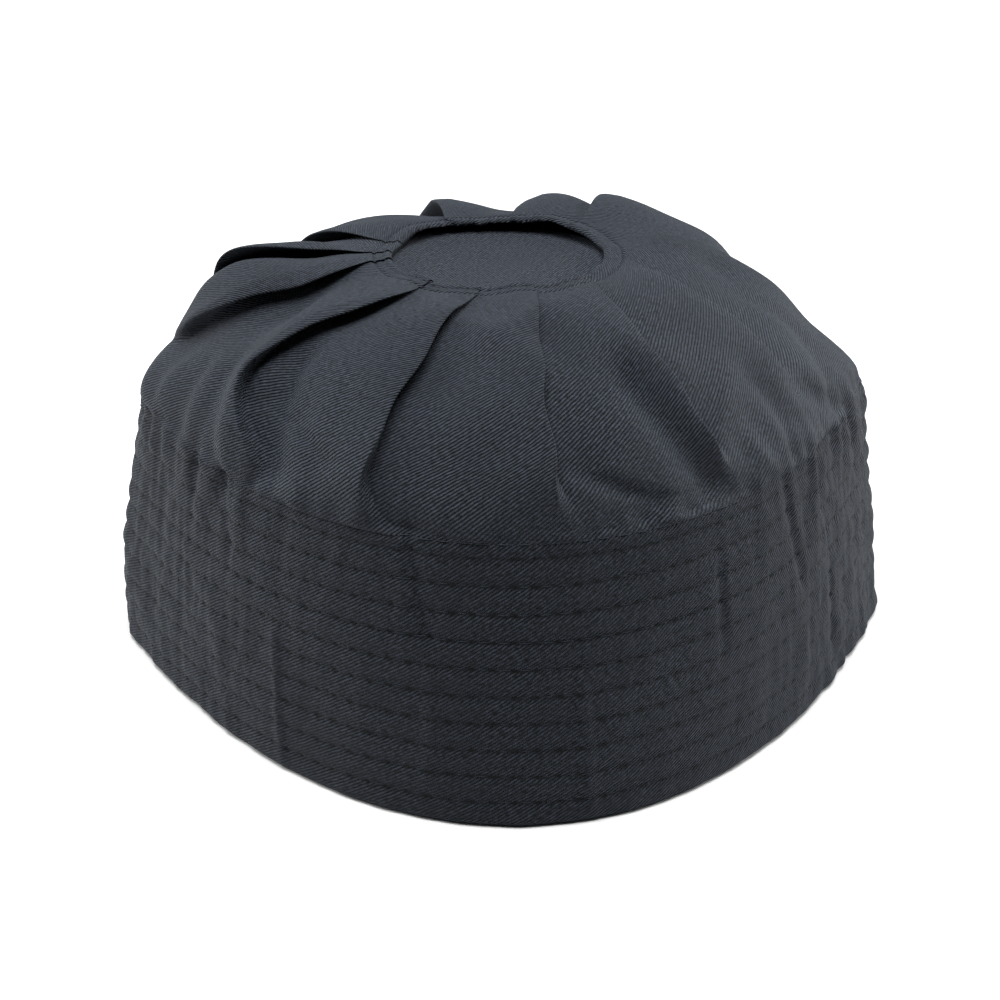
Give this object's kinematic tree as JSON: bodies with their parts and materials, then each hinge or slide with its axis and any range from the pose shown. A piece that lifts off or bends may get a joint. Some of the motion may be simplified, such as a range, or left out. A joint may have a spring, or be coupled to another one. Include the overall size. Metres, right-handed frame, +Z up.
{
  "type": "kufi cap",
  "caption": "Soft round brimless cap of dark cotton twill: a stiff band quilted in stitched rows, a crown knife-pleated up to a small flat disc, open below to sit on the head.",
  "frame": {"origin": "middle of the cap's bounding box on the plane of the rim", "axes": "+Z up through the disc, -Y the front that the picture shows, +X towards the right-hand storage crease"},
  "size_m": [0.195, 0.187, 0.1018],
  "materials": {
    "band_twill": "blue-black cotton twill, quilted with tone-on-tone machine stitching",
    "crown_twill": "blue-black cotton twill, pressed into knife pleats",
    "disc_twill": "blue-black cotton twill, flat single layer"
  },
  "bodies": {
    "root": {"band": "band_twill", "crown": "crown_twill", "top_disc": "disc_twill"}
  },
  "joints": []
}
